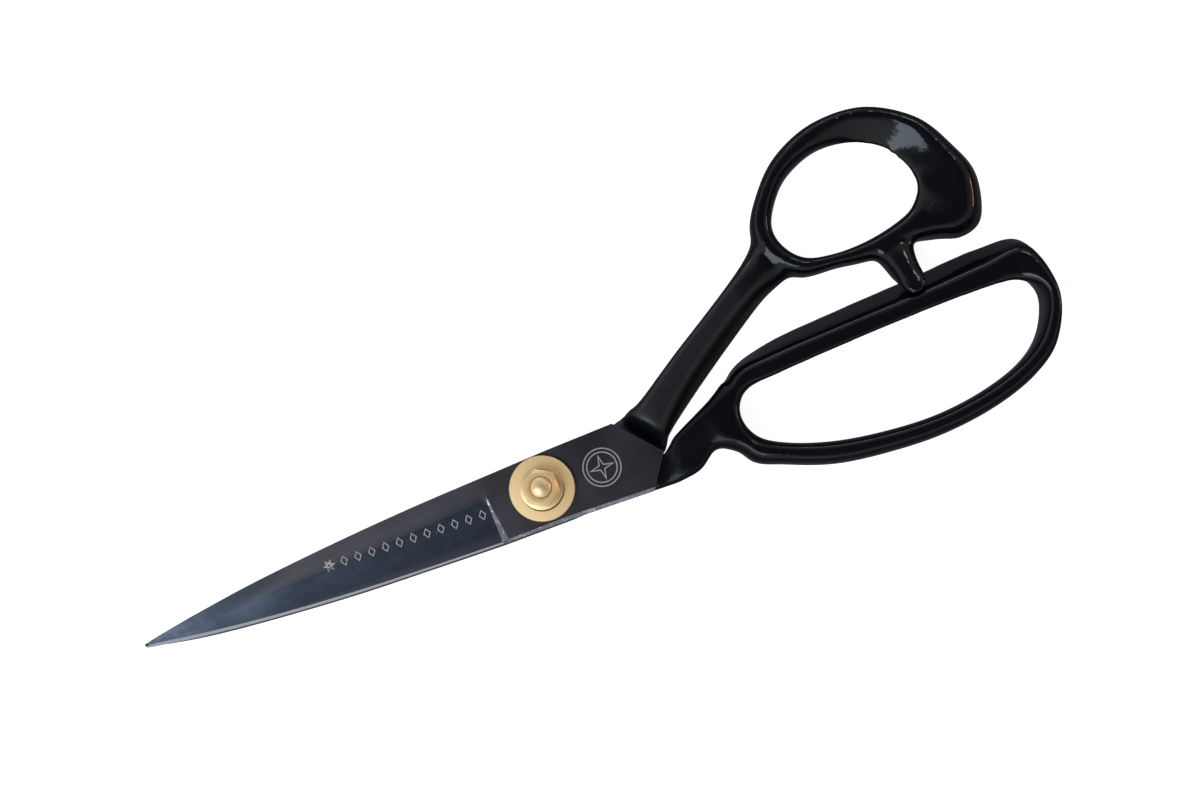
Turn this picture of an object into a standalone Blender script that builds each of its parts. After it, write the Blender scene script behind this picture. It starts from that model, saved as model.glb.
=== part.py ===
"""Fabric shears: two ground steel blades with black enamelled bows, on an adjustable brass pivot.

Frame: Z is the pivot's axis, at x = y = 0. +X points from the pivot to the bows, +Y to the thumb
bow and +Z to the nut. z = 0 is the plane that the bolt's head and the backs of both bows lie on.
Lengths are in millimetres, and new_object scales them to metres.
"""

import math

import bmesh
import bpy

MM = 0.001
GAP = 0.3  # left between two pieces that touch

# Driving dimensions.
BLADE_THICK = 3.5
TIP_THICK = 1.6
REAR_INNER_Z = 5.8
FRONT_INNER_Z = REAR_INNER_Z + GAP
FRONT_TOP_Z = FRONT_INNER_Z + BLADE_THICK
# Where the hollow grind starts, as a share of the blade's width from its back.
RIDGE_ROOT = 0.31
RIDGE_TIP = 0.5
GROUND = 0.6  # thickness that the grind leaves at the bevel, as a share of the full thickness
BEVEL_WIDTH = 0.55
LAND = 0.3  # thickness of the cutting edge
NOTCH_X = -13.2  # foot of the step from the ground blade up to the ricasso

BOLT_R = 2.5
HEAD_R = 6.2
HEAD_THICK = 2.0
HEAD_EDGE = 0.5  # size of the chamfer round the head
NECK_HALF = 2.6
BOLT_TOP_Z = 17.0
CONE_HEIGHT = 1.0  # of the bolt's coned end
CONE_TOP_R = 1.3
WASHER_R = 7.7
WASHER_THICK = 1.2
WASHER_EDGE = 0.25  # largest chamfer on a washer
COLLAR_R = 5.1
COLLAR_THICK = 0.8
NUT_HALF = 4.0  # half the width across flats
NUT_THICK = 3.4
NUT_CROWN_R = 3.5
CROWN_ANGLE = 35  # degrees that the cone on the nut's corners falls
FRICTION_R = 6.6
FRICTION_THICK = 0.5
ROUND_STEPS = 36

BAR_POWER = 2.6  # 2 would make the bars' sections ellipses, and more makes them squarer
SECTION_STEPS = 16
SHARP_ANGLE = 35  # degrees between two faces from which their edge is shaded sharp

# Blades: x, y of the back, y of the cutting edge, from the tip to the ricasso.
FRONT_BLADE = [
    (-100.4, 0.1, -0.8),
    (-96.0, 0.95, -1.6),
    (-85.0, 2.6, -3.3),
    (-70.0, 4.4, -5.1),
    (-50.0, 6.0, -6.8),
    (-31.0, 7.05, -7.8),
    (NOTCH_X, 7.6, -8.55),
]
REAR_BLADE = [
    (-99.2, -0.7, 0.05),
    (-95.0, -1.85, 0.8),
    (-85.0, -3.65, 2.2),
    (-70.0, -5.4, 4.0),
    (-50.0, -7.1, 5.6),
    (-31.0, -8.05, 6.7),
    (NOTCH_X, -8.85, 7.2),
]
# Ricassos: x, y of the back, the ridge, the bevel's top and the edge, then the slanted end.
FRONT_RICASSO = [
    [(-12.9, 7.6), (-12.9, 2.7), (-11.5, -8.1), (-11.4, -8.65)],
    [(4.0, 8.1), (4.0, 2.8), (4.0, -8.2), (4.0, -9.0)],
    [(20.6, 8.3), (29.6, -2.2), (24.8, -9.2), (24.2, -9.9)],
]
REAR_RICASSO = [
    [(-12.9, -8.85), (-12.9, -3.8), (-11.5, 6.4), (-11.4, 7.25)],
    [(4.0, -9.1), (4.0, -3.0), (4.0, 7.0), (4.0, 7.8)],
    [(20.6, -8.4), (19.5, -3.0), (12.6, 7.3), (12.0, 8.0)],
    [(27.4, -3.8), (24.6, 0.3), (19.9, 7.4), (19.4, 8.1)],
]

# Shanks: x, y of the upper edge, x, y of the lower edge, lowest z, highest z, how far the back
# leans towards the lower edge.
FINGER_SHANK = [
    (29.9, -2.4, 24.6, -9.95, 6.1, 9.2, 0.0),
    (31.4, -1.2, 27.6, -10.1, 6.1, 9.2, 0.0),
    (32.8, 0.0, 31.2, -10.1, 5.7, 10.0, 0.0),
    (34.9, 1.1, 36.3, -9.2, 4.6, 10.5, 0.0),
    (39.9, 3.4, 41.2, -6.1, 2.4, 11.2, 0.0),
    (44.4, 5.6, 44.8, -7.7, 1.2, 11.8, 0.0),
    (48.6, 8.4, 48.0, -10.4, 1.4, 11.6, 0.0),
]
THUMB_SHANK = [
    (19.7, 8.3, 27.8, -3.4, 2.3, 5.8, 0.0),
    (22.4, 9.0, 30.5, -1.8, 2.3, 5.8, 0.0),
    (24.6, 9.5, 32.0, 0.9, 1.9, 11.1, 0.6),
    (25.6, 9.9, 32.8, 1.5, 1.8, 11.6, 0.8),
    (29.0, 11.1, 35.3, 3.6, 1.2, 11.8, 2.2),
    (40.0, 18.0, 44.0, 9.8, 0.6, 12.0, 3.4),
    (52.0, 25.2, 56.0, 17.7, 0.4, 12.2, 3.2),
    (60.5, 30.7, 64.4, 22.8, 0.4, 12.0, 2.2),
    (65.4, 34.9, 69.2, 24.6, 0.5, 11.2, 1.0),
    (69.6, 40.0, 73.3, 25.8, 1.0, 10.7, 0.0),
]
# Bows: x, y inside, x, y outside, lowest z, highest z, how far the back leans outwards.
FINGER_BOW = [
    (125.1, 0.0, 129.2, 0.0, 0.6, 12.2, -0.8),
    (121.6, 4.6, 126.7, 13.9, 0.2, 12.4, 3.6),
    (114.0, 5.75, 116.0, 16.1, 0.0, 12.5, 5.8),
    (98.0, 5.95, 98.0, 15.3, 0.0, 12.5, 5.6),
    (80.0, 5.6, 80.0, 14.6, 0.0, 12.5, 5.2),
    (62.0, 4.9, 61.3, 13.3, 0.2, 12.3, 4.4),
    (52.9, 4.1, 50.0, 9.2, 0.6, 12.0, 1.6),
    (49.5, -0.5, 46.0, -1.0, 0.8, 11.8, 0.0),
    (51.3, -6.6, 47.3, -11.0, 0.6, 11.8, 0.0),
    (57.6, -10.8, 55.3, -15.4, 0.4, 11.8, 0.0),
    (68.0, -14.4, 66.4, -19.5, 0.2, 11.8, 0.0),
    (80.0, -16.5, 79.3, -21.5, 0.0, 11.8, 0.0),
    (92.0, -17.25, 92.3, -22.1, 0.0, 11.8, 0.0),
    (103.9, -16.0, 105.6, -20.6, 0.0, 11.8, 0.0),
    (114.4, -12.9, 117.0, -17.0, 0.2, 11.8, 0.0),
    (121.3, -7.8, 124.7, -11.1, 0.4, 12.0, -0.6),
]
THUMB_BOW = [
    (108.1, 37.0, 122.9, 32.2, 0.4, 12.0, 4.0),
    (107.0, 41.1, 120.7, 40.5, 0.2, 12.2, 4.0),
    (103.0, 46.6, 115.0, 50.3, 0.0, 12.4, 3.2),
    (96.5, 50.2, 103.7, 57.2, 0.0, 12.4, 2.0),
    (88.5, 51.0, 90.6, 57.8, 0.0, 12.4, 1.0),
    (80.7, 48.2, 79.3, 53.3, 0.0, 12.4, 0.0),
    (75.9, 43.7, 71.6, 45.9, 0.2, 12.2, -0.5),
    (72.8, 38.0, 67.2, 38.2, 0.4, 12.0, -0.5),
    (73.4, 32.8, 68.4, 30.2, 0.6, 12.0, 0.0),
    (77.2, 28.3, 74.7, 24.4, 1.2, 11.6, 0.0),
    (84.0, 26.6, 83.5, 23.4, 1.8, 11.2, 0.0),
    (91.5, 26.6, 91.8, 22.1, 1.8, 11.2, 0.0),
    (98.5, 27.7, 100.0, 22.8, 1.8, 11.4, 0.0),
    (103.6, 29.3, 107.8, 21.4, 1.4, 11.6, 1.5),
    (106.4, 31.8, 114.2, 19.7, 1.0, 11.8, 3.0),
    (107.8, 34.2, 120.0, 22.3, 0.7, 12.0, 4.0),
]
# Stop under the thumb bow: left x, right x, y, lowest z, highest z.
STOP = [
    (90.4, 102.8, 24.4, 2.6, 10.6),
    (92.7, 101.8, 21.3, 2.6, 11.6),
    (93.8, 101.3, 18.4, 2.8, 12.2),
    (94.4, 101.3, 16.2, 3.4, 12.5),
    (94.8, 101.3, 14.2, 7.3, 12.8),
    (95.3, 100.8, 12.4, 10.5, 13.1),
    (96.6, 99.4, 10.5, 12.0, 13.3),
]


def material(name, colour, roughness, metallic):
    made = bpy.data.materials.new(name)
    made.use_nodes = True
    shader = made.node_tree.nodes["Principled BSDF"]
    shader.inputs["Base Color"].default_value = (*colour, 1)
    shader.inputs["Roughness"].default_value = roughness
    shader.inputs["Metallic"].default_value = metallic
    made.diffuse_color = (*colour, 1)
    return made


def new_object(name, sections, look, ring=False, parent=None):
    """Skin the sections, loops of as many points each, into one closed body.

    The last section meets the first on a ring, and both ends are capped on anything else.
    """
    mesh = bmesh.new()
    loops = [[mesh.verts.new([c * MM for c in point]) for point in loop] for loop in sections]
    count = len(loops[0])
    pairs = list(zip(loops, loops[1:]))
    if ring:
        pairs.append((loops[-1], loops[0]))
    for first, second in pairs:
        for i in range(count):
            j = (i + 1) % count
            mesh.faces.new((first[i], first[j], second[j], second[i]))
    if not ring:
        mesh.faces.new(loops[0])
        mesh.faces.new(loops[-1])
    bmesh.ops.recalc_face_normals(mesh, faces=mesh.faces[:])
    data = bpy.data.meshes.new(name)
    mesh.to_mesh(data)
    mesh.free()
    data.shade_smooth()
    data.set_sharp_from_angle(angle=math.radians(SHARP_ANGLE))
    data.materials.append(look)
    made = bpy.data.objects.new(name, data)
    made.parent = parent
    bpy.context.scene.collection.objects.link(made)
    return made


def boolean(target, other, operation):
    """Cut the other object from the target, or join it on, and hide the other one."""
    modifier = target.modifiers.new(other.name, "BOOLEAN")
    modifier.operation = operation
    modifier.solver = "EXACT"
    modifier.object = other
    other.hide_render = True
    other.display_type = "WIRE"


def smooth_rows(rows, steps, closed=False):
    """Rows on the smooth curve (Catmull-Rom) through the given rows, with steps rows a span."""
    count = len(rows)
    made = []
    for i in range(count if closed else count - 1):
        if closed:
            near = [rows[(i + k) % count] for k in (-1, 0, 1, 2)]
        else:
            near = [rows[min(max(i + k, 0), count - 1)] for k in (-1, 0, 1, 2)]
        for step in range(steps):
            t = step / steps
            before = -t + 2 * t**2 - t**3
            start = 2 - 5 * t**2 + 3 * t**3
            end = t + 4 * t**2 - 3 * t**3
            after = t**3 - t**2
            weights = (before, start, end, after)
            made.append(tuple(sum(w * v for w, v in zip(weights, four)) / 2 for four in zip(*near)))
    if not closed:
        made.append(tuple(rows[-1]))
    return made


def circle(radius, z, steps=ROUND_STEPS):
    angles = [2 * math.pi * i / steps for i in range(steps)]
    return [(radius * math.cos(a), radius * math.sin(a), z) for a in angles]


def turned_ring(name, profile, look, parent):
    """A body turned about Z from a closed profile of (r, z) points that stays off the axis."""
    angles = [2 * math.pi * i / ROUND_STEPS for i in range(ROUND_STEPS)]
    sections = [[(r * math.cos(a), r * math.sin(a), z) for r, z in profile] for a in angles]
    return new_object(name, sections, look, ring=True, parent=parent)


def blade_lanes(x, back, edge, ridge):
    """The four lanes along the blade: its back, the ridge, the bevel's top and the edge."""
    width = abs(edge - back)
    bevel = min(BEVEL_WIDTH, 0.4 * width) / width
    return [(x, back + (edge - back) * share) for share in (0, ridge, 1 - bevel, 1)]


def blade(name, rows, ricasso, inner_z, outwards, look, parent):
    """A blade with its ricasso. Its inner face is flat, and outwards is +1 or -1 along Z."""

    def section(lanes, heights):
        outer = [(x, y, inner_z + outwards * h) for (x, y), h in zip(lanes, heights)]
        return outer + [(x, y, inner_z) for x, y in reversed(lanes)]

    sections = []
    tip_x, root_x = rows[0][0], rows[-1][0]
    for x, back, edge in smooth_rows(rows, 3):
        share = (x - tip_x) / (root_x - tip_x)
        thick = TIP_THICK + (BLADE_THICK - TIP_THICK) * share
        heights = (thick, thick, GROUND * thick, LAND)
        ridge = RIDGE_TIP + (RIDGE_ROOT - RIDGE_TIP) * share
        sections.append(section(blade_lanes(x, back, edge, ridge), heights))
    for lanes in ricasso:
        sections.append(section(lanes, [BLADE_THICK] * 4))
    return new_object(name, sections, look, parent=parent)


def bolt_hole(target, half, square, inner_z, outwards):
    """A hole for the bolt through a blade, square where the bolt's neck is keyed in it."""
    ends = (inner_z - 2 * outwards, inner_z + outwards * (BLADE_THICK + 2))
    if square:
        corners = [(half, half), (-half, half), (-half, -half), (half, -half)]
        sections = [[(x, y, z) for x, y in corners] for z in ends]
    else:
        sections = [circle(half, z) for z in ends]
    boolean(target, new_object(target.name + "_hole", sections, STEEL), "DIFFERENCE")


def bar_section(inside, outside, low, high, lean, steps=SECTION_STEPS):
    """A rounded section across a bar, between two points in plan and two heights.

    Its back leans outwards by lean, and it still reaches both points when seen along Z.
    """
    reach = math.dist(inside, outside) / 2
    nx = (outside[0] - inside[0]) / (2 * reach)
    ny = (outside[1] - inside[1]) / (2 * reach)
    power = BAR_POWER / (BAR_POWER - 1)
    half = (reach**power - abs(lean / 2) ** power) ** (1 / power)
    points = []
    for i in range(steps):
        angle = 2 * math.pi * i / steps
        across = math.copysign(abs(math.cos(angle)) ** (2 / BAR_POWER), math.cos(angle))
        up = math.copysign(abs(math.sin(angle)) ** (2 / BAR_POWER), math.sin(angle))
        out = half * across - up * lean / 2
        x = (inside[0] + outside[0]) / 2 + nx * out
        y = (inside[1] + outside[1]) / 2 + ny * out
        points.append((x, y, (low + high) / 2 + up * (high - low) / 2))
    return points


def bow_ring(name, rows, look, parent):
    sections = []
    for x0, y0, x1, y1, low, high, lean in smooth_rows(rows, 2, closed=True):
        sections.append(bar_section((x0, y0), (x1, y1), low, high, lean))
    return new_object(name, sections, look, ring=True, parent=parent)


def shank(name, rows, look):
    sections = []
    for x0, y0, x1, y1, low, high, lean in smooth_rows(rows, 2):
        sections.append(bar_section((x0, y0), (x1, y1), low, high, lean))
    return new_object(name, sections, look)


def finger_bow(parent):
    made = bow_ring("finger_bow", FINGER_BOW, ENAMEL, parent)
    boolean(made, shank("finger_shank", FINGER_SHANK, ENAMEL), "UNION")
    return made


def thumb_bow(parent):
    made = bow_ring("thumb_bow", THUMB_BOW, ENAMEL, parent)
    boolean(made, shank("thumb_shank", THUMB_SHANK, ENAMEL), "UNION")
    sections = []
    for left, right, y, low, high in smooth_rows(STOP, 2):
        sections.append(bar_section((left, y), (right, y), low, high, 0))
    boolean(made, new_object("thumb_stop", sections, ENAMEL), "UNION")
    return made


def front_blade(parent):
    made = blade("front_blade", FRONT_BLADE, FRONT_RICASSO, FRONT_INNER_Z, 1, STEEL, parent)
    bolt_hole(made, BOLT_R + GAP, False, FRONT_INNER_Z, 1)
    return made


def rear_blade(parent):
    """The rear blade, with a square hole for the bolt and a seat for the friction washer."""
    made = blade("rear_blade", REAR_BLADE, REAR_RICASSO, REAR_INNER_Z, -1, STEEL, parent)
    bolt_hole(made, NECK_HALF + GAP, True, REAR_INNER_Z, -1)
    depth = FRICTION_THICK + GAP
    levels = (REAR_INNER_Z - depth, REAR_INNER_Z + 1)
    seat = [circle(FRICTION_R + GAP, z) for z in levels]
    boolean(made, new_object("rear_blade_seat", seat, STEEL), "DIFFERENCE")
    return made


def pivot_bolt(parent):
    """A round head, a square neck in the rear blade, and a round shaft with a coned end."""
    neck_top = REAR_INNER_Z - FRICTION_THICK - 2 * GAP

    def square(z):
        points = []
        for x, y, _ in circle(1, z):
            reach = NECK_HALF / max(abs(x), abs(y))
            points.append((x * reach, y * reach, z))
        return points

    sections = [
        circle(HEAD_R - HEAD_EDGE, 0),
        circle(HEAD_R, HEAD_EDGE),
        circle(HEAD_R, HEAD_THICK),
        square(HEAD_THICK),
        square(neck_top),
        circle(BOLT_R, neck_top),
        circle(BOLT_R, BOLT_TOP_Z - CONE_HEIGHT),
        circle(CONE_TOP_R, BOLT_TOP_Z),
    ]
    return new_object("pivot_bolt", sections, BRASS, parent=parent)


def washer(name, radius, low, thick, look, parent):
    edge = min(WASHER_EDGE, thick / 3)
    hole = BOLT_R + GAP
    high = low + thick
    profile = [
        (hole, low),
        (radius - edge, low),
        (radius, low + edge),
        (radius, high - edge),
        (radius - edge, high),
        (hole, high),
    ]
    return turned_ring(name, profile, look, parent)


def tension_nut(low, parent):
    """A hexagon nut whose corners are cut back by a cone round its crown."""
    sections = []
    crown_slope = math.tan(math.radians(CROWN_ANGLE))
    for i in range(ROUND_STEPS):
        angle = 2 * math.pi * i / ROUND_STEPS
        corner = (angle + math.pi / 6) % (math.pi / 3) - math.pi / 6
        flat_r = NUT_HALF / math.cos(corner)
        shoulder = low + NUT_THICK - (flat_r - NUT_CROWN_R) * crown_slope
        profile = [
            (BOLT_R + GAP, low),
            (flat_r, low),
            (flat_r, shoulder),
            (NUT_CROWN_R, low + NUT_THICK),
            (BOLT_R + GAP, low + NUT_THICK),
        ]
        sections.append([(r * math.cos(angle), r * math.sin(angle), z) for r, z in profile])
    return new_object("tension_nut", sections, BRASS, ring=True, parent=parent)


def empty(name, parent=None):
    made = bpy.data.objects.new(name, None)
    made.parent = parent
    bpy.context.scene.collection.objects.link(made)
    return made


def build():
    finger_half = empty("finger_half")
    thumb_half = empty("thumb_half", finger_half)
    nut_axis = empty("nut_axis", thumb_half)
    front_blade(finger_half)
    finger_bow(finger_half)
    rear_blade(thumb_half)
    thumb_bow(thumb_half)
    pivot_bolt(thumb_half)
    level = REAR_INNER_Z - FRICTION_THICK
    washer("friction_washer", FRICTION_R, level, FRICTION_THICK, NYLON, thumb_half)
    level = FRONT_TOP_Z + GAP
    washer("disc_washer", WASHER_R, level, WASHER_THICK, BRASS, thumb_half)
    level += WASHER_THICK + GAP
    washer("collar_washer", COLLAR_R, level, COLLAR_THICK, BRASS, thumb_half)
    level += COLLAR_THICK + GAP
    tension_nut(level, nut_axis)


for old in list(bpy.data.objects):
    bpy.data.objects.remove(old)
STEEL = material("ground_steel", (0.08, 0.085, 0.095), 0.25, 1.0)
ENAMEL = material("black_enamel", (0.012, 0.013, 0.016), 0.12, 0.0)
BRASS = material("turned_brass", (0.75, 0.55, 0.22), 0.3, 1.0)
NYLON = material("nylon", (0.8, 0.78, 0.7), 0.5, 0.0)
build()
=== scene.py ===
import math

import bmesh
import bpy
import numpy as np
from mathutils import Matrix, Vector


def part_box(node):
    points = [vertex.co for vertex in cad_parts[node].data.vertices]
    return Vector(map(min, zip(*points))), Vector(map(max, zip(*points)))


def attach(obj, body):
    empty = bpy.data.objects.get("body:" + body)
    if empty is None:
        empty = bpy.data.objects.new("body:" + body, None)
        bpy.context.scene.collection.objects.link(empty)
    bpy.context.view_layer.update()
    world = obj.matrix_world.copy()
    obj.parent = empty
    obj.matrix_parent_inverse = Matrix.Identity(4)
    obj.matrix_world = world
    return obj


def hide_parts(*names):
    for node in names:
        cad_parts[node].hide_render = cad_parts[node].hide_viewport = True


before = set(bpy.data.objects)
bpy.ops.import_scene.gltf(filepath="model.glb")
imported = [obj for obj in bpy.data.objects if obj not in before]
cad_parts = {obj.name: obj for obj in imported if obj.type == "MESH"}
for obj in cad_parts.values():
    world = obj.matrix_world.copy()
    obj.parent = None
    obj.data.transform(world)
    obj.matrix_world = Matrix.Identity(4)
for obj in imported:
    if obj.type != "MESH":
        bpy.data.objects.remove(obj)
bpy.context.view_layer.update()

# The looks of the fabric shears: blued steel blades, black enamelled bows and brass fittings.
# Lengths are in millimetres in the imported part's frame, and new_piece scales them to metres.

MM = 0.001

# Blades: x, y of the back, y of the cutting edge, from the tip to the ricasso.
FRONT_BLADE = [
    (-100.4, 0.1, -0.8),
    (-96.0, 0.95, -1.6),
    (-85.0, 2.6, -3.3),
    (-70.0, 4.4, -5.1),
    (-50.0, 6.0, -6.8),
    (-31.0, 7.05, -7.8),
    (-13.2, 7.6, -8.55),
]
REAR_BLADE = [
    (-99.2, -0.7, 0.05),
    (-95.0, -1.85, 0.8),
    (-85.0, -3.65, 2.2),
    (-70.0, -5.4, 4.0),
    (-50.0, -7.1, 5.6),
    (-31.0, -8.05, 6.7),
    (-13.2, -8.85, 7.2),
]
# Ricassos: x, y of the back, the ridge, the bevel's top and the edge, then the slanted end.
FRONT_RICASSO = [
    [(-12.9, 7.6), (-12.9, 2.7), (-11.5, -8.1), (-11.4, -8.65)],
    [(4.0, 8.1), (4.0, 2.8), (4.0, -8.2), (4.0, -9.0)],
    [(20.6, 8.3), (29.6, -2.2), (24.8, -9.2), (24.2, -9.9)],
]
REAR_RICASSO = [
    [(-12.9, -8.85), (-12.9, -3.8), (-11.5, 6.4), (-11.4, 7.25)],
    [(4.0, -9.1), (4.0, -3.0), (4.0, 7.0), (4.0, 7.8)],
    [(20.6, -8.4), (19.5, -3.0), (12.6, 7.3), (12.0, 8.0)],
    [(27.4, -3.8), (24.6, 0.3), (19.9, 7.4), (19.4, 8.1)],
]
TIP_THICK = 1.6
# Where the hollow grind starts, as a share of the blade's width from its back.
RIDGE_ROOT = 0.31
RIDGE_TIP = 0.5
GROUND = 0.6  # thickness that the grind leaves at the bevel, as a share of the full thickness
HOLLOW = 1.2  # how quickly the hollow grind falls away from the ridge
TIP_FLAT = 0.2  # share of the blade's length, from the tip, that isn't hollow ground
GRIND_LANES = 12  # lanes that the hollow grind is divided into
# Width of the sharpened bevel.
BEVEL_ROOT = 0.35
BEVEL_TIP = 0.75
BEVEL_MOST = 0.4  # largest share of the blade's width that the bevel takes
LAND = 0.12  # thickness of the cutting edge
CHAMFER = 0.45  # how far the ricasso's cutting side falls
BLADE_SHARP_ANGLE = 14  # degrees between two faces from which their edge is shaded sharp
EDGE_ROUND = 0.2  # how far the blades' corners are worn round
BARE_INDEX, WORN_AND_SHEEN_INDEX = 1, 2  # places of bare steel and of worn steel with painted sheen among a blade's looks

# Marks etched on the front blade.
MARK_COUNT = 11
MARK_X, MARK_Y = -15.3, -0.6  # the lozenge nearest the ricasso
MARK_PITCH = 3.41
MARK_SLOPE = -0.056  # the row's slope across the blade
MARK_STAR_AWAY = 37.8  # from that lozenge to the star at the row's other end
MARK_LIFT = 0.02  # above the steel
RING_X, RING_Y = 14.8, -0.4
RING_RADII = (4.6, 3.7)
RING_LINE = 0.3

# Fittings.
BORE_R = 2.8  # of the washers and of the front blade
REAR_BORE_R = 3.2
SEAT_R = 6.9  # the friction washer's seat in the rear blade
SEAT_DEPTH = 0.8
BOLT_R = 2.5
BOLT_DOME = [(2.4, 0.8), (2.0, 0.5), (1.4, 0.25), (0.8, 0.08), (0.2, 0)]  # radius, depth below top
BOLT_DOME_DEPTH = 1.0
HEAD_THICK = 2.0
HEAD_EDGE = 0.5  # size of the chamfer round the head
NECK_HALF = 2.6
NECK_TOP = 4.7
NUT_HALF = 4.0  # half the width across flats
NUT_CORNER_R = 4.5
NUT_CROWN_R = 3.5
NUT_CROWN_SLOPE = 0.7
NUT_EDGE = 0.1
NUT_BORE_R = 2.6
NUT_BORE_CHAMFER = 0.15

# How finely round things are divided.
BAR_STEPS = 40
TURN_STEPS = 128
NUT_STEPS = 144
BOLT_STEPS = 72
DRILL_STEPS = 64
DRILL_PAST = 5  # how far a drill runs past the steel

# Shanks: x, y of the upper edge, x, y of the lower edge, lowest z, highest z, lean of the back.
FINGER_SHANK = [
    (29.9, -2.4, 24.6, -9.95, 6.1, 9.2, 0.0),
    (31.4, -1.2, 27.6, -10.1, 6.1, 9.2, 0.0),
    (32.8, 0.0, 31.2, -10.1, 5.7, 10.0, 0.0),
    (34.9, 1.1, 36.3, -9.2, 4.6, 10.5, 0.0),
    (39.9, 3.4, 41.2, -6.1, 2.4, 11.2, 0.0),
    (44.4, 5.6, 44.8, -7.7, 1.2, 11.8, 0.0),
    (48.6, 8.4, 48.0, -10.4, 1.4, 11.6, 0.0),
]
THUMB_SHANK = [
    (19.7, 8.3, 27.8, -3.4, 2.3, 5.8, 0.0),
    (22.4, 9.0, 30.5, -1.8, 2.3, 5.8, 0.0),
    (24.6, 9.5, 32.0, 0.9, 1.9, 11.1, 0.6),
    (25.6, 9.9, 32.8, 1.5, 1.8, 11.6, 0.8),
    (29.0, 11.1, 35.3, 3.6, 1.2, 11.8, 2.2),
    (40.0, 18.0, 44.0, 9.8, 0.6, 12.0, 3.4),
    (52.0, 25.2, 56.0, 17.7, 0.4, 12.2, 3.2),
    (60.5, 30.7, 64.4, 22.8, 0.4, 12.0, 2.2),
    (65.4, 34.9, 69.2, 24.6, 0.5, 11.2, 1.0),
    (69.6, 40.0, 73.3, 25.8, 1.0, 10.7, 0.0),
]
# Bows: x, y inside, x, y outside, lowest z, highest z, how far the back leans outwards.
FINGER_BOW = [
    (125.1, 0.0, 129.2, 0.0, 0.6, 12.2, -0.8),
    (121.6, 4.6, 126.7, 13.9, 0.2, 12.4, 3.6),
    (114.0, 5.75, 116.0, 16.1, 0.0, 12.5, 5.8),
    (98.0, 5.95, 98.0, 15.3, 0.0, 12.5, 5.6),
    (80.0, 5.6, 80.0, 14.6, 0.0, 12.5, 5.2),
    (62.0, 4.9, 61.3, 13.3, 0.2, 12.3, 4.4),
    (52.9, 4.1, 50.0, 9.2, 0.6, 12.0, 1.6),
    (49.5, -0.5, 46.0, -1.0, 0.8, 11.8, 0.0),
    (51.3, -6.6, 47.3, -11.0, 0.6, 11.8, 0.0),
    (57.6, -10.8, 55.3, -15.4, 0.4, 11.8, 0.0),
    (68.0, -14.4, 66.4, -19.5, 0.2, 11.8, 0.0),
    (80.0, -16.5, 79.3, -21.5, 0.0, 11.8, 0.0),
    (92.0, -17.25, 92.3, -22.1, 0.0, 11.8, 0.0),
    (103.9, -16.0, 105.6, -20.6, 0.0, 11.8, 0.0),
    (114.4, -12.9, 117.0, -17.0, 0.2, 11.8, 0.0),
    (121.3, -7.8, 124.7, -11.1, 0.4, 12.0, -0.6),
]
THUMB_BOW = [
    (108.1, 37.0, 122.9, 32.2, 0.4, 12.0, 4.0),
    (107.0, 41.1, 120.7, 40.5, 0.2, 12.2, 4.0),
    (103.0, 46.6, 115.0, 50.3, 0.0, 12.4, 3.2),
    (96.5, 50.2, 103.7, 57.2, 0.0, 12.4, 2.0),
    (88.5, 51.0, 90.6, 57.8, 0.0, 12.4, 1.0),
    (80.7, 48.2, 79.3, 53.3, 0.0, 12.4, 0.0),
    (75.9, 43.7, 71.6, 45.9, 0.2, 12.2, -0.5),
    (72.8, 38.0, 67.2, 38.2, 0.4, 12.0, -0.5),
    (73.4, 32.8, 68.4, 30.2, 0.6, 12.0, 0.0),
    (77.2, 28.3, 74.7, 24.4, 1.2, 11.6, 0.0),
    (84.0, 26.6, 83.5, 23.4, 1.8, 11.2, 0.0),
    (91.5, 26.6, 91.8, 22.1, 1.8, 11.2, 0.0),
    (98.5, 27.7, 100.0, 22.8, 1.8, 11.4, 0.0),
    (103.6, 29.3, 107.8, 21.4, 1.4, 11.6, 1.5),
    (106.4, 31.8, 114.2, 19.7, 1.0, 11.8, 3.0),
    (107.8, 34.2, 120.0, 22.3, 0.7, 12.0, 4.0),
]
# Stop under the thumb bow: left x, right x, y, lowest z, highest z.
STOP = [
    (90.4, 102.8, 24.4, 2.6, 10.6),
    (92.7, 101.8, 21.3, 2.6, 11.6),
    (93.8, 101.3, 18.4, 2.8, 12.2),
    (94.4, 101.3, 16.2, 3.4, 12.5),
    (94.8, 101.3, 14.2, 7.3, 12.8),
    (95.3, 100.8, 12.4, 10.5, 13.1),
    (96.6, 99.4, 10.5, 12.0, 13.3),
]
# Slope by which the top tips towards the hole, for each row of the bows.
FINGER_TIPS = [0.0, 0.12, 0.06, 0, 0, 0, 0, 0, 0, 0, 0, 0, 0, 0, 0, 0]
THUMB_TIPS = [0.2, 0.36, 0.52, 0.46, 0.16, 0, 0, 0, 0, 0, 0, 0, 0, 0.02, 0.08, 0.15]
BAR_POWER = 2.6  # 2 would make the bars' sections ellipses, and more makes them squarer
LEAN_POWER = 0.35  # how much squarer a bar gets for each millimetre of lean
FINGER_SHANK_SQUARE = 2.4  # how much squarer or rounder the shanks are
THUMB_SHANK_SQUARE = -0.7
MELT_VOXEL = 0.35

# The shanks' hidden starts, inside the blades, in the same columns as the shanks.
SHANK_INSIDE_FRONT = (29.0, -2.7, 23.6, -9.9, 6.2, 9.1, 0.0)
SHANK_INSIDE_REAR = (18.9, 8.1, 27.0, -3.7, 2.4, 5.7, 0.0)

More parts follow.
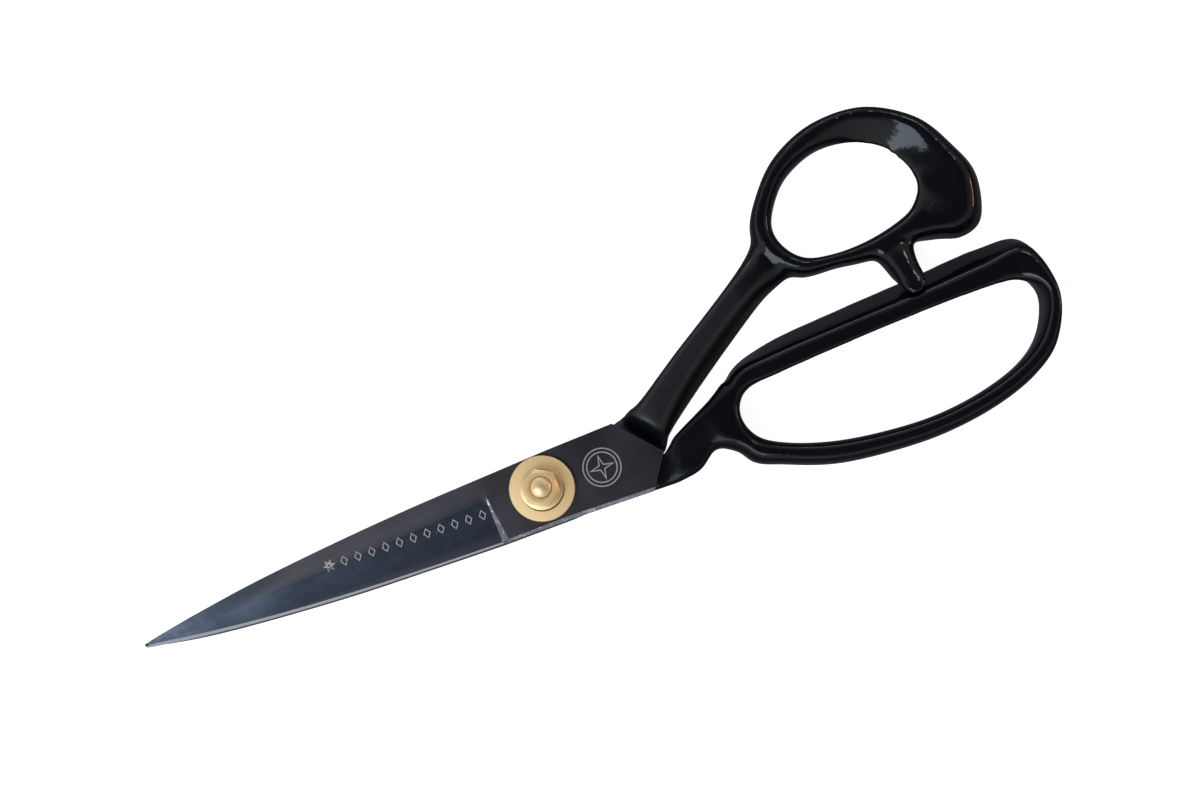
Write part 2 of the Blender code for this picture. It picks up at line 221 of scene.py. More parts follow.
# Where a bow's skin is smoothed into a fillet: x, y, radius.
FINGER_FILLETS = [(47.0, 4.5, 5.0), (46.0, -9.0, 4.0), (50.0, 3.5, 4.0), (50.0, -6.5, 4.0)]
THUMB_FILLETS = [
    (66.0, 35.0, 4.5),
    (71.5, 26.0, 5.0),
    (78.0, 25.0, 3.0),
    (91.5, 23.5, 3.0),
    (102.5, 22.5, 2.0),
]


# Geometry helpers.

def smooth_rows(rows, steps, closed=False):
    """Rows on the smooth curve (Catmull-Rom) through the given rows, with steps rows a span."""
    count = len(rows)
    made = []
    for i in range(count if closed else count - 1):
        if closed:
            near = [rows[(i + k) % count] for k in (-1, 0, 1, 2)]
        else:
            near = [rows[min(max(i + k, 0), count - 1)] for k in (-1, 0, 1, 2)]
        for step in range(steps):
            t = step / steps
            weights = (
                -t + 2 * t**2 - t**3,
                2 - 5 * t**2 + 3 * t**3,
                t + 4 * t**2 - 3 * t**3,
                t**3 - t**2,
            )
            made.append(tuple(sum(w * v for w, v in zip(weights, four)) / 2 for four in zip(*near)))
    if not closed:
        made.append(tuple(rows[-1]))
    return made


def bar_section(inside, outside, low, high, lean, tip=0.0, square=0.0):
    """A rounded section across a bar, between two points in plan and two heights.

    Its back leans outwards, and it still reaches both points. tip is the slope of its top
    towards the inside, and square tightens its corners.
    """
    reach = math.dist(inside, outside) / 2
    nx = (outside[0] - inside[0]) / (2 * reach)
    ny = (outside[1] - inside[1]) / (2 * reach)
    bar_power = BAR_POWER + LEAN_POWER * abs(lean) + square
    power = bar_power / (bar_power - 1)
    half = (reach**power - abs(lean / 2) ** power) ** (1 / power)
    points = []
    for i in range(BAR_STEPS):
        angle = 2 * math.pi * i / BAR_STEPS
        across = math.copysign(abs(math.cos(angle)) ** (2 / bar_power), math.cos(angle))
        up = math.copysign(abs(math.sin(angle)) ** (2 / bar_power), math.sin(angle))
        out = half * across - up * lean / 2
        x = (inside[0] + outside[0]) / 2 + nx * out
        y = (inside[1] + outside[1]) / 2 + ny * out
        z = (low + high) / 2 + up * (high - low) / 2 + tip * (out - reach) * max(up, 0)
        points.append((x, y, z))
    return points


def circle(radius, z, steps):
    """A circle about Z."""
    angles = [2 * math.pi * i / steps for i in range(steps)]
    return [(radius * math.cos(a), radius * math.sin(a), z) for a in angles]


def skin(mesh, sections, ring=False):
    """Add the skin through the sections, loops of as many points each, to a bmesh."""
    loops = [[mesh.verts.new([c * MM for c in point]) for point in loop] for loop in sections]
    pairs = list(zip(loops, loops[1:]))
    if ring:
        pairs.append((loops[-1], loops[0]))
    count = len(loops[0])
    for first, second in pairs:
        for i in range(count):
            j = (i + 1) % count
            mesh.faces.new((first[i], first[j], second[j], second[i]))
    if not ring:
        mesh.faces.new(loops[0])
        mesh.faces.new(loops[-1])


def link_mesh(name, mesh, looks):
    """An object made from a bmesh, which is then freed."""
    data = bpy.data.meshes.new(name)
    mesh.to_mesh(data)
    mesh.free()
    for look in looks:
        data.materials.append(look)
    made = bpy.data.objects.new(name, data)
    bpy.context.scene.collection.objects.link(made)
    return made


def new_piece(name, bodies, looks, sharp_angle=30):
    """One object from several bodies, each (sections, ring)."""
    mesh = bmesh.new()
    for sections, ring in bodies:
        skin(mesh, sections, ring)
    bmesh.ops.recalc_face_normals(mesh, faces=mesh.faces[:])
    made = link_mesh(name, mesh, looks)
    made.data.shade_smooth()
    made.data.set_sharp_from_angle(angle=math.radians(sharp_angle))
    return made


def bake_modifiers(piece):
    """Replace the piece's mesh with what its modifiers make of it."""
    evaluated = piece.evaluated_get(bpy.context.evaluated_depsgraph_get())
    made = bpy.data.meshes.new_from_object(evaluated)
    piece.modifiers.clear()
    piece.data = made


def cut(piece, other):
    """Cut the other object out of the piece, and remove it."""
    modifier = piece.modifiers.new("cut", "BOOLEAN")
    modifier.operation = "DIFFERENCE"
    modifier.solver = "EXACT"
    modifier.object = other
    bake_modifiers(piece)
    bpy.data.objects.remove(other)


def melt(piece, fillets):
    """Fuse a piece's overlapping bodies into one skin, and smooth it most at the fillets."""
    modifier = piece.modifiers.new("melt", "REMESH")
    modifier.mode = "VOXEL"
    modifier.voxel_size = MELT_VOXEL * MM
    modifier.use_smooth_shade = True
    bake_modifiers(piece)
    data = piece.data
    count = len(data.vertices)
    points = np.zeros(count * 3, np.float32)
    data.vertices.foreach_get("co", points)
    points = points.reshape(-1, 3).astype(float)
    edges = np.zeros(len(data.edges) * 2, np.int32)
    data.edges.foreach_get("vertices", edges)
    edges = edges.reshape(-1, 2)
    ends = np.concatenate([edges[:, 0], edges[:, 1]])
    others = np.concatenate([edges[:, 1], edges[:, 0]])
    degree = np.bincount(ends, minlength=count)[:, None]

    def relax(points, share):
        """Move each point by a share of the way to the middle of its neighbours."""
        sums = []
        for axis in range(3):
            sums.append(np.bincount(ends, weights=points[others, axis], minlength=count))
        return points + share * (np.stack(sums, axis=1) / degree - points)

    share = np.zeros(count)
    for x, y, radius in fillets:
        away = np.hypot(points[:, 0] / MM - x, points[:, 1] / MM - y)
        share = np.maximum(share, np.exp(-((away / radius) ** 2)))
    fillet_passes, skin_passes = 60, 14
    for _ in range(fillet_passes):
        points = relax(points, 0.6 * share[:, None])
    for _ in range(skin_passes):
        points = relax(points, 0.5)
    data.vertices.foreach_set("co", points.astype(np.float32).ravel())
    data.update()
    data.shade_smooth()


def show(piece, body, node):
    """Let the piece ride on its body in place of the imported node."""
    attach(piece, body)
    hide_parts(node)


# Materials.

def add(tree, kind, inputs=None, **settings):
    """A node with its settings and inputs, each a value or another node's output."""
    made = tree.nodes.new(kind)
    for key, value in settings.items():
        setattr(made, key, value)
    for key, value in (inputs or {}).items():
        if isinstance(value, bpy.types.NodeSocket):
            tree.links.new(value, made.inputs[key])
        else:
            made.inputs[key].default_value = value
    return made


def new_look(name, colour, roughness, metallic):
    """A plain material, its node tree and its shader."""
    look = bpy.data.materials.new(name)
    look.use_nodes = True
    shader = look.node_tree.nodes["Principled BSDF"]
    shader.inputs["Base Color"].default_value = (*colour, 1)
    shader.inputs["Roughness"].default_value = roughness
    shader.inputs["Metallic"].default_value = metallic
    look.diffuse_color = (*colour, 1)
    return look, look.node_tree, shader


def place_part(tree, kind, axis):
    """One axis of a kind of texture coordinate, such as Object or Normal."""
    place = add(tree, "ShaderNodeTexCoord")
    return add(tree, "ShaderNodeSeparateXYZ", {"Vector": place.outputs[kind]}).outputs[axis]


def noise(tree, scale, detail=4.0, stretch=(1, 1, 1)):
    """Noise in the piece's own coordinates, at scale features a metre."""
    place = add(tree, "ShaderNodeTexCoord")
    spread = add(tree, "ShaderNodeMapping", {"Vector": place.outputs["Object"], "Scale": stretch})
    return add(
        tree,
        "ShaderNodeTexNoise",
        {"Vector": spread.outputs["Vector"], "Scale": scale, "Detail": detail},
    ).outputs["Fac"]


def ranged(tree, value, low, high, to_low, to_high):
    """The value's range from low to high, stretched to another range and held at its ends."""
    made = add(
        tree,
        "ShaderNodeMapRange",
        {"Value": value, "From Min": low, "From Max": high, "To Min": to_low, "To Max": to_high},
    )
    return made.outputs["Result"]


def bump(tree, shader, height, distance):
    made = add(tree, "ShaderNodeBump", {"Height": height, "Distance": distance})
    tree.links.new(made.outputs["Normal"], shader.inputs["Normal"])


def mix_colours(tree, share, first, second):
    """A blend of two colours, each three numbers or another node's output."""
    made = tree.nodes.new("ShaderNodeMix")
    made.data_type = "RGBA"
    tree.links.new(share, made.inputs["Factor"])
    sockets = [socket for socket in made.inputs if socket.type == "RGBA"]
    for socket, colour in zip(sockets, (first, second)):
        if isinstance(colour, bpy.types.NodeSocket):
            tree.links.new(colour, socket)
        else:
            socket.default_value = (*colour, 1)
    return next(socket for socket in made.outputs if socket.type == "RGBA")


def maths(tree, operation, first, second=0):
    made = tree.nodes.new("ShaderNodeMath")
    made.operation = operation
    for socket, value in zip(made.inputs, (first, second)):
        if isinstance(value, bpy.types.NodeSocket):
            tree.links.new(value, socket)
        else:
            socket.default_value = value
    return made.outputs["Value"]


def blued_steel():
    """Painted reflection: brownish where the steel is flat, darker and bluish where it is ground,
    and paler and bluer towards the tip; smudged near the tip.
    """
    look, tree, shader = new_look("blued_steel", (0.08, 0.08, 0.09), 0.34, 1.0)
    tilt = maths(tree, "ABSOLUTE", place_part(tree, "Normal", "Y"))
    along = place_part(tree, "Object", "X")
    near_tip = ranged(tree, along, -0.06, -0.1, 0, 1)
    near_shank = ranged(tree, along, -0.01, 0.026, 0, 1)
    flat = mix_colours(tree, near_shank, (0.1, 0.088, 0.094), (0.06, 0.053, 0.061))
    # Painted reflection: where the steel tilts across the blade, as it does where it is ground, and
    # towards the tip, it is painted darker and bluer than the flat steel.
    ground = ranged(tree, tilt, 0.01, 0.12, 0, 1)
    ground = maths(tree, "MAXIMUM", ground, ranged(tree, along, -0.062, -0.08, 0, 1))
    colour = mix_colours(tree, ground, flat, (0.0225, 0.0255, 0.0335))
    # Painted reflection: the steel is painted paler and bluer towards the tip.
    pale = maths(tree, "POWER", near_tip, 1.6)
    colour = mix_colours(tree, pale, colour, (0.17, 0.195, 0.255))
    cloud = ranged(tree, noise(tree, 380, 10.0, (1, 1.3, 1)), 0.42, 0.58, 0, 1)
    smudge = maths(tree, "MULTIPLY", cloud, ranged(tree, near_tip, 0, 1, 0.1, 0.6))
    colour = mix_colours(tree, smudge, colour, (0.055, 0.065, 0.085))
    speck = ranged(tree, noise(tree, 1100, 2.0), 0.75, 0.8, 0, 0.5)
    colour = mix_colours(tree, speck, colour, (0.3, 0.3, 0.31))
    # The very tip is darker.
    darker_tip = ranged(tree, along, -0.0994, -0.0998, 0, 1)
    colour = mix_colours(tree, darker_tip, colour, (0.01, 0.01, 0.015))
    tree.links.new(colour, shader.inputs["Base Color"])
    roughness = ranged(tree, noise(tree, 90), 0.35, 0.7, 0.34, 0.46)
    tree.links.new(roughness, shader.inputs["Roughness"])
    brushed = noise(tree, 700, 3.0, (1, 12, 12))
    bump(tree, shader, brushed, 0.000004)
    return look


def bare_steel():
    """Bright steel, brushed across, for the sharpened bevels."""
    look, tree, shader = new_look("bare_steel", (0.5, 0.51, 0.52), 0.5, 0.4)
    roughness = ranged(tree, noise(tree, 500, 3.0, (1, 6, 6)), 0.3, 0.7, 0.42, 0.6)
    tree.links.new(roughness, shader.inputs["Roughness"])
    return look


def worn_and_sheen_steel():
    """Blued steel rubbed bare in places, for the blades' corners; also laid on the ricasso's step,
    where its lighter colour is painted sheen.
    """
    look, tree, shader = new_look("worn_and_sheen_steel", (0.2, 0.21, 0.23), 0.4, 0.6)
    bare = ranged(tree, noise(tree, 420, 4.0), 0.53, 0.66, 0, 1)
    colour = mix_colours(tree, bare, (0.19, 0.2, 0.225), (0.38, 0.4, 0.43))
    chips = ranged(tree, noise(tree, 1100, 2.0), 0.62, 0.68, 0, 0.7)
    tree.links.new(mix_colours(tree, chips, colour, (0.9, 0.9, 0.88)), shader.inputs["Base Color"])
    return look


def enamel(name, satin, satin_shine, satin_end, gloss_start):
    """Black enamel, satin up to satin_end along X and glossy from gloss_start, both in metres.

    satin is the roughness there, and satin_shine the specular level.
    """
    gloss, gloss_shine = 0.1, 0.3
    look, tree, shader = new_look(name, (0.003, 0.003, 0.0045), gloss, 0.0)
    along = place_part(tree, "Object", "X")
    roughness = ranged(tree, along, satin_end, gloss_start, satin, gloss)
    tree.links.new(roughness, shader.inputs["Roughness"])
    shine = ranged(tree, along, satin_end, gloss_start, satin_shine, gloss_shine)
    tree.links.new(shine, shader.inputs["Specular IOR Level"])
    bump(tree, shader, noise(tree, 420, 3.0), 0.00006)
    return look


def brass(name, roughness, metallic):
    """Brass with the fine rings that turning leaves, and a few dark specks."""
    clean, spot = (0.9, 0.65, 0.34), (0.3, 0.2, 0.1)
    look, tree, shader = new_look(name, clean, roughness, metallic)
    speck = ranged(tree, noise(tree, 1300, 3.0), 0.68, 0.75, 0, 0.7)
    tree.links.new(mix_colours(tree, speck, clean, spot), shader.inputs["Base Color"])
    place = add(tree, "ShaderNodeTexCoord")
    rings = add(
        tree,
        "ShaderNodeTexWave",
        {"Vector": place.outputs["Object"], "Scale": 900, "Distortion": 0.5},
        wave_type="RINGS",
        rings_direction="Z",
    )
    bump(tree, shader, rings.outputs["Fac"], 0.000002)
    return look


BLUED = blued_steel()
BARE = bare_steel()
WORN_AND_SHEEN = worn_and_sheen_steel()
ETCHED = new_look("etched_steel", (0.42, 0.38, 0.34), 0.6, 0.8)[0]
FINGER_ENAMEL = enamel("finger_enamel", 0.2, 0.14, 0.044, 0.056)
THUMB_ENAMEL = enamel("thumb_enamel", 0.38, 0.5, 0.058, 0.068)
DULL_BRASS = brass("dull_brass", 0.6, 0.55)
BRIGHT_BRASS = brass("bright_brass", 0.44, 0.85)
NYLON = new_look("white_nylon", (0.8, 0.78, 0.7), 0.5, 0.0)[0]
# A dark colour painted as the shade in the gap under the collar.
PAINTED_GAP_SHADE = new_look("painted_gap_shade", (0.03, 0.018, 0.01), 0.7, 0.0)[0]


# Blades.

def ground_lanes(x, back, edge, along, thick_root):
    """Across a blade at x, from its back to its edge: each lane's y and its height."""
    thick = TIP_THICK + (thick_root - TIP_THICK) * along
    width = abs(edge - back)
    bevel = min(BEVEL_TIP + (BEVEL_ROOT - BEVEL_TIP) * along, BEVEL_MOST * width) / width
    ridge = RIDGE_TIP + (RIDGE_ROOT - RIDGE_TIP) * along
    shares = [0, ridge / 2, ridge]
    shares += [ridge + (1 - bevel - ridge) * i / GRIND_LANES for i in range(1, GRIND_LANES)]
    shares += [1 - bevel, 1]
    lanes = []
    for share in shares:
        deep = min(max((share - ridge) / (1 - bevel - ridge), 0), 1)
        fall = (1 - GROUND) * min(max((along - TIP_FLAT) / TIP_FLAT, 0), 1)
        height = thick * (1 - fall * (1 - (1 - deep) ** HOLLOW))
        lanes.append((x, back + (edge - back) * share, LAND if share == 1 else height))
    return lanes


def blade(name, rows, ricasso, inner_z, outwards, thick_root):
    """A hollow-ground blade with its ricasso, flat on the inside. outwards is +1 or -1 along Z."""

    def section(lanes):
        outer = [(x, y, inner_z + outwards * height) for x, y, height in lanes]
        return outer + [(x, y, inner_z) for x, y, _ in reversed(lanes)]

    sections = []
    tip_x, root_x = rows[0][0], rows[-1][0]
    for x, back, edge in smooth_rows(rows, 12):
        along = (x - tip_x) / (root_x - tip_x)
        sections.append(section(ground_lanes(x, back, edge, along, thick_root)))
    ground_rows = len(sections)
    for back, ridge, top, edge in ricasso:
        middle = tuple((b + r) / 2 for b, r in zip(back, ridge))
        lanes = [back, middle, ridge]
        for i in range(1, GRIND_LANES):
            lanes.append(tuple(r + (t - r) * i / GRIND_LANES for r, t in zip(ridge, top)))
        lanes += [top, edge]
        lanes = [(x, y, thick_root) for x, y in lanes]
        x, y, _ = lanes[-1]
        lanes[-1] = (x, y, thick_root - CHAMFER)
        sections.append(section(lanes))
    made = new_piece(name, [(sections, False)], [BLUED, BARE, WORN_AND_SHEEN], BLADE_SHARP_ANGLE)
    # Faces run row by row round each section: outer faces on the outside, the edge's own face,
    # as many on the inside and the back's own face. step holds the points of the ricasso's
    # first section, at the top of the step up from the ground blade.
    count = len(sections[0])
    outer = count // 2 - 1
    step = range(ground_rows * count, (ground_rows + 1) * count)
    for edge in made.data.edges:
        if all(vertex in step for vertex in edge.vertices):
            edge.use_edge_sharp = True
    for face in made.data.polygons[: (len(sections) - 1) * count]:
        row, lane = divmod(face.index, count)
        # The step up to the ricasso takes the lighter worn steel as painted sheen, standing in for
        # the light its slope catches.
        if row == ground_rows - 1 and 2 <= lane < outer:
            face.material_index = WORN_AND_SHEEN_INDEX
        elif lane in (outer - 1, outer):
            face.material_index = BARE_INDEX if row < ground_rows else WORN_AND_SHEEN_INDEX
    return made


def round_edges(piece):
    """Wear the piece's sharp corners round."""
    modifier = piece.modifiers.new("round", "BEVEL")
    modifier.width = EDGE_ROUND * MM
    modifier.segments = 2
    modifier.limit_method = "ANGLE"
    modifier.angle_limit = math.radians(40)
    modifier.harden_normals = True
    modifier.material = WORN_AND_SHEEN_INDEX


def drill(piece, radius, low, high):
    """Cut a round hole about Z between two heights."""
    hole = [circle(radius, z, DRILL_STEPS) for z in (low, high)]
    cut(piece, new_piece("drill", [(hole, False)], [BLUED]))


def front_blade():
    low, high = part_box("front_blade")
    inner_z, top_z = low.z / MM, high.z / MM
    made = blade("front_blade_look", FRONT_BLADE, FRONT_RICASSO, inner_z, 1, top_z - inner_z)
    drill(made, BORE_R, inner_z - DRILL_PAST, top_z + DRILL_PAST)
    round_edges(made)
    show(made, "finger_half", "front_blade")


def rear_blade():
    low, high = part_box("rear_blade")
    inner_z, low_z = high.z / MM, low.z / MM
    made = blade("rear_blade_look", REAR_BLADE, REAR_RICASSO, inner_z, -1, inner_z - low_z)
    drill(made, REAR_BORE_R, low_z - DRILL_PAST, inner_z + DRILL_PAST)
    drill(made, SEAT_R, inner_z - SEAT_DEPTH, inner_z + DRILL_PAST)
    round_edges(made)
    show(made, "thumb_half", "rear_blade")


def star(x, y, long, short, points):
    """A star's outline, or a many-sided ring's where long and short are the same."""
    made = []
    for i in range(2 * points):
        radius = short if i % 2 else long
        angle = math.pi * i / points
        made.append((x + radius * math.cos(angle), y + radius * math.sin(angle)))
    return made


def divided(outline, pieces=5):
    """The closed outline with each of its sides divided, so that it can follow the steel."""
    made = []
    for (x0, y0), (x1, y1) in zip(outline, outline[1:] + outline[:1]):
        for k in range(pieces):
            made.append((x0 + (x1 - x0) * k / pieces, y0 + (y1 - y0) * k / pieces))
    return made


def etched_marks():
    """A plain row of lozenges along the front blade, and a star in a ring on its ricasso."""
    low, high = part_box("front_blade")
    inner_z, top_z = low.z / MM, high.z / MM
    tip_x, root_x = FRONT_BLADE[0][0], FRONT_BLADE[-1][0]
    rows = smooth_rows(FRONT_BLADE, 40)
    mesh = bmesh.new()

    def surface_z(x, y):
        if x > root_x:
            return top_z
        _, back, edge = min(rows, key=lambda row: abs(row[0] - x))
        lanes = ground_lanes(x, back, edge, (x - tip_x) / (root_x - tip_x), top_z - inner_z)
        ys = [-lane[1] for lane in lanes]
        return inner_z + float(np.interp(-y, ys, [lane[2] for lane in lanes]))

    def strip(outside, inside):
        """The strip between two closed outlines of as many points, laid on the blade."""
        loops = []
        for outline in (outside, inside):
            loop = []
            for x, y in divided(outline):
                z = surface_z(x, y) + MARK_LIFT
                loop.append(mesh.verts.new((x * MM, y * MM, z * MM)))
            loops.append(loop)
        count = len(loops[0])
        for i in range(count):
            j = (i + 1) % count
            mesh.faces.new((loops[0][i], loops[0][j], loops[1][j], loops[1][i]))

    for i in range(MARK_COUNT):
        x, y = MARK_X - MARK_PITCH * i, MARK_Y - MARK_SLOPE * MARK_PITCH * i
        strip(star(x, y, 0.9, 1.25, 2), star(x, y, 0.63, 0.95, 2))
    x, y = MARK_X - MARK_STAR_AWAY, MARK_Y - MARK_SLOPE * MARK_STAR_AWAY
    strip(star(x, y, 1.6, 0.7, 6), star(x, y, 0.3, 0.25, 6))
    for radius in RING_RADII:
        inner = radius - RING_LINE
        strip(star(RING_X, RING_Y, radius, radius, 32), star(RING_X, RING_Y, inner, inner, 32))
    strip(star(RING_X, RING_Y, 3.2, 0.9, 4), star(RING_X, RING_Y, 2.2, 0.55, 4))
    bmesh.ops.recalc_face_normals(mesh, faces=mesh.faces[:])
    made = link_mesh("etched_marks", mesh, [ETCHED])
    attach(made, "finger_half")


# Bows.

def bar_sections(rows, closed=False, square=0.0):
    """A bar's sections, from rows of the two points, the two heights, the lean and the tip."""
    sections = []
    for x0, y0, x1, y1, *shape in smooth_rows(rows, 10, closed):
        sections.append(bar_section((x0, y0), (x1, y1), *shape, square=square))
    return sections


def finger_bow():
    ring = [(*row, tip) for row, tip in zip(FINGER_BOW, FINGER_TIPS)]
    # The shank starts a little way inside the blade, as one forging with it.
    shank = [SHANK_INSIDE_FRONT] + FINGER_SHANK
    bodies = [
        (bar_sections(ring, closed=True), True),
        (bar_sections(shank, square=FINGER_SHANK_SQUARE), False),
    ]
    made = new_piece("finger_bow_look", bodies, [FINGER_ENAMEL])
    melt(made, FINGER_FILLETS)
    show(made, "finger_half", "finger_bow")


def thumb_bow():
    ring = [(*row, tip) for row, tip in zip(THUMB_BOW, THUMB_TIPS)]
    shank = [SHANK_INSIDE_REAR] + THUMB_SHANK
    stop = [(left, y, right, y, low, high, 0) for left, right, y, low, high in STOP]
    bodies = [
        (bar_sections(ring, closed=True), True),
        (bar_sections(shank, square=THUMB_SHANK_SQUARE), False),
        (bar_sections(stop), False),
    ]
    made = new_piece("thumb_bow_look", bodies, [THUMB_ENAMEL])
    melt(made, THUMB_FILLETS)
    show(made, "thumb_half", "thumb_bow")


# Fittings.

def turned(name, profile, look):
    """A body turned about Z from a closed profile of (r, z) points."""
    angles = [2 * math.pi * i / TURN_STEPS for i in range(TURN_STEPS)]
    sections = [[(r * math.cos(a), r * math.sin(a), z) for r, z in profile] for a in angles]
    return new_piece(name, [(sections, True)], [look])


def washer(node, body, look, edge):
    """A washer in its packed place, with worn edges."""
    low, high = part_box(node)
    z0, z1, radius = low.z / MM, high.z / MM, high.x / MM
    profile = [
        (BORE_R, z0),
        (radius - edge, z0),
        (radius, z0 + edge),
        (radius, z1 - edge),
        (radius - 0.3 * edge, z1 - 0.3 * edge),
        (radius - edge, z1),
        (BORE_R, z1),
    ]
    made = turned(node + "_look", profile, look)
    show(made, body, node)


def collar_painted_shade():
    """A dark strip painted on the disc at the collar's foot, on one side: painted shade standing in
    for the shadow in the gap under the collar.
    """
    _, disc_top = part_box("disc_washer")
    _, collar_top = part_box("collar_washer")
    z, radius = disc_top.z / MM + 0.01, collar_top.x / MM
    start, turn_step, count = 195, 5, 34  # degrees
    under, widest = 0.2, 0.28  # how far the line reaches under the collar and past it
    angles = [math.radians(start + turn_step * i) for i in range(count)]
    mesh = bmesh.new()
    rails = []
    for angle in angles:
        share = (angle - angles[0]) / (angles[-1] - angles[0])
        past = max(widest * math.sin(math.pi * share) ** 0.4, 0.01)
        row = []
        for r in (radius - under, radius + past):
            x, y = r * math.cos(angle), r * math.sin(angle)
            row.append(mesh.verts.new((x * MM, y * MM, z * MM)))
        rails.append(row)
    for first, second in zip(rails, rails[1:]):
        mesh.faces.new((first[0], first[1], second[1], second[0]))
    made = link_mesh("collar_painted_shade", mesh, [PAINTED_GAP_SHADE])
    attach(made, "thumb_half")


def nut():
    """The hexagon tension nut, crowned on top."""
    low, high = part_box("tension_nut")
    z0, z1 = low.z / MM, high.z / MM
    sections = []
    for i in range(NUT_STEPS):
        angle = 2 * math.pi * i / NUT_STEPS
        from_flat = (angle + math.pi / 6) % (math.pi / 3) - math.pi / 6
        side_r = min(NUT_HALF / math.cos(from_flat), NUT_CORNER_R)
        profile = [
            (NUT_BORE_R, z0),
            (side_r - NUT_EDGE, z0),
            (side_r, z0 + NUT_EDGE),
            (side_r, z1 - (side_r - NUT_CROWN_R) * NUT_CROWN_SLOPE),
            (NUT_CROWN_R, z1),
            (NUT_BORE_R + NUT_BORE_CHAMFER, z1),
            (NUT_BORE_R, z1 - NUT_BORE_CHAMFER),
        ]
        sections.append([(r * math.cos(angle), r * math.sin(angle), z) for r, z in profile])
    made = new_piece("tension_nut_look", [(sections, True)], [BRIGHT_BRASS])
    show(made, "nut", "tension_nut")


def square(half, z, steps):
    """A square about Z, with as many points as a circle of that many steps."""
    points = []
    for x, y, _ in circle(1, z, steps):
        reach = half / max(abs(x), abs(y))
        points.append((x * reach, y * reach, z))
    return points


def bolt():
    """The pivot bolt: its round head, its square neck and its domed end."""
    _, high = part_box("pivot_bolt")
    z1, head_r = high.z / MM, high.x / MM
    sections = [
        circle(head_r - HEAD_EDGE, 0, BOLT_STEPS),
        circle(head_r, HEAD_EDGE, BOLT_STEPS),
        circle(head_r, HEAD_THICK, BOLT_STEPS),
        square(NECK_HALF, HEAD_THICK, BOLT_STEPS),
        square(NECK_HALF, NECK_TOP, BOLT_STEPS),
        circle(BOLT_R, NECK_TOP, BOLT_STEPS),
        circle(BOLT_R, z1 - BOLT_DOME_DEPTH, BOLT_STEPS),
    ]
    for radius, depth in BOLT_DOME:
        sections.append(circle(radius, z1 - depth, BOLT_STEPS))
    made = new_piece("pivot_bolt_look", [(sections, False)], [BRIGHT_BRASS])
    show(made, "thumb_half", "pivot_bolt")


# Stage.

def sky(tree, stops, bows_side):
    """The studio's brightness by height, from -1 straight down to 1 straight up.

    Its brightness falls to bows_side from the blades' side to the bows' side.
    """
    up = place_part(tree, "Generated", "Z")
    ramp = add(tree, "ShaderNodeValToRGB", {"Fac": ranged(tree, up, -1, 1, 0, 1)})
    ramp.color_ramp.interpolation = "EASE"
    elements = ramp.color_ramp.elements
    while len(elements) < len(stops):
        elements.new(0.5)
    for element, (at, colour) in zip(elements, stops):
        element.position = (at + 1) / 2
        element.color = (*colour, 1)
    side = ranged(tree, place_part(tree, "Generated", "X"), -0.6, 0.6, 1, bows_side)
    return mix_colours(tree, side, (0, 0, 0), ramp.outputs["Color"])


def soft_light(name, azimuth, elevation, distance, size, radiance, colour):
    """A soft box that faces the shears. Azimuth 0 is towards +X and 90 towards +Y."""
    a, e = math.radians(azimuth), math.radians(elevation)
    place = Vector((math.cos(a) * math.cos(e), math.sin(a) * math.cos(e), math.sin(e))) * distance
    data = bpy.data.lights.new(name, "AREA")
    data.shape = "RECTANGLE"
    data.size, data.size_y = size
    data.energy = radiance * math.pi * size[0] * size[1]
    data.color = colour
    made = bpy.data.objects.new(name, data)
    made.location = place
    made.rotation_mode = "QUATERNION"
    made.rotation_quaternion = (Vector((0.02, 0.015, 0)) - place).to_track_quat("-Z", "Y")
    bpy.context.scene.collection.objects.link(made)


def white_floor():
    """A pale floor that is lit from within a little, and that glossy rays don't see."""
    half = 3.0
    mesh = bmesh.new()
    corners = ((-half, -half), (half, -half), (half, half), (-half, half))
    mesh.faces.new([mesh.verts.new((x, y, 0)) for x, y in corners])
    look, _, shader = new_look("floor_white", (0.6, 0.6, 0.6), 0.9, 0.0)
    shader.inputs["Emission Color"].default_value = (1, 1, 1, 1)
    shader.inputs["Emission Strength"].default_value = 0.9
    shader.inputs["Specular IOR Level"].default_value = 0.0
    floor = link_mesh("floor", mesh, [look])
    floor.visible_glossy = False


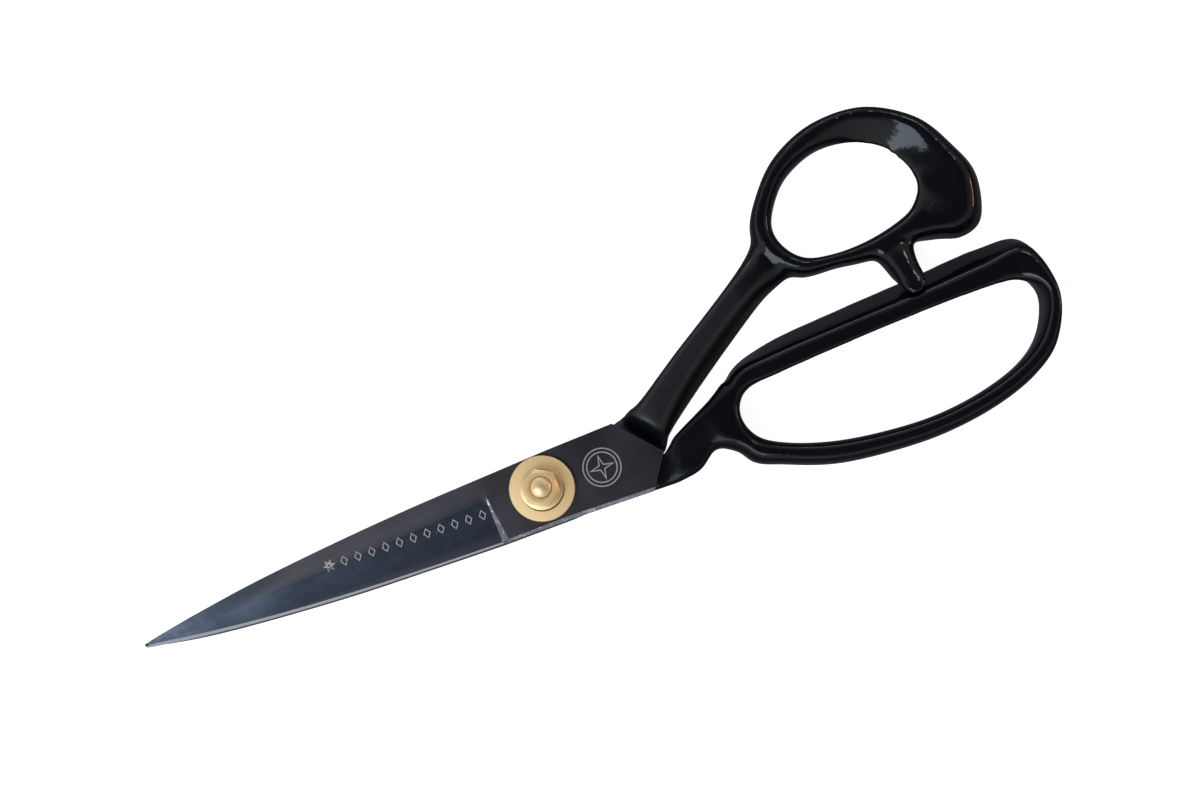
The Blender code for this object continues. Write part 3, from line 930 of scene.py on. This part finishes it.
def studio():
    """Soft lights, in a world that is brightest about half way up."""
    stops = [
        (-0.2, (0.12, 0.12, 0.14)),
        (0.05, (0.3, 0.31, 0.34)),
        (0.35, (0.95, 0.97, 1.0)),
        (0.62, (0.95, 0.97, 1.0)),
        (0.92, (0.13, 0.13, 0.15)),
    ]
    world = bpy.data.worlds.new("studio")
    world.use_nodes = True
    tree = world.node_tree
    background = tree.nodes["Background"]
    tree.links.new(sky(tree, stops, 0.5), background.inputs["Color"])
    background.inputs["Strength"].default_value = 1.0
    bpy.context.scene.world = world
    # Name, azimuth, elevation, distance, size, radiance and colour.
    soft_light("window", 212, 59, 1.3, (0.9, 0.55), 5.0, (0.74, 0.87, 1))
    soft_light("far_window", 40, 46, 1.5, (0.2, 0.13), 13.0, (0.9, 0.94, 1))
    soft_light("rim", 80, 16, 1.5, (1.0, 0.08), 7.0, (0.9, 0.95, 1))
    soft_light("lamp", -5, 10, 1.5, (0.5, 0.07), 32.0, (1, 0.5, 0.15))
    bpy.context.scene.view_settings.view_transform = "Standard"


def camera():
    """A camera above the table, leaning slightly towards the cutting side."""
    look_at = Vector((19.97, 14.54, 9)) * MM
    away = 475 * MM
    lean_x, lean_y, up_turn = math.radians(0.5), math.radians(-5.5), math.radians(21.27)
    back = Vector((math.tan(lean_x), math.tan(lean_y), 1)).normalized()
    right = Vector((math.sin(up_turn), math.cos(up_turn), 0)).cross(back).normalized()
    up = back.cross(right)
    data = bpy.data.cameras.new("camera")
    data.sensor_width = 36
    data.lens = 60.86
    made = bpy.data.objects.new("camera", data)
    rotation = Matrix((right, up, back)).transposed().to_4x4()
    made.matrix_world = Matrix.Translation(look_at + back * away) @ rotation
    bpy.context.scene.collection.objects.link(made)
    bpy.context.scene.camera = made


front_blade()
etched_marks()
rear_blade()
finger_bow()
thumb_bow()
washer("disc_washer", "thumb_half", DULL_BRASS, 0.3)
washer("collar_washer", "thumb_half", BRIGHT_BRASS, 0.2)
washer("friction_washer", "thumb_half", NYLON, 0.1)
collar_painted_shade()
nut()
bolt()
white_floor()
studio()
camera()
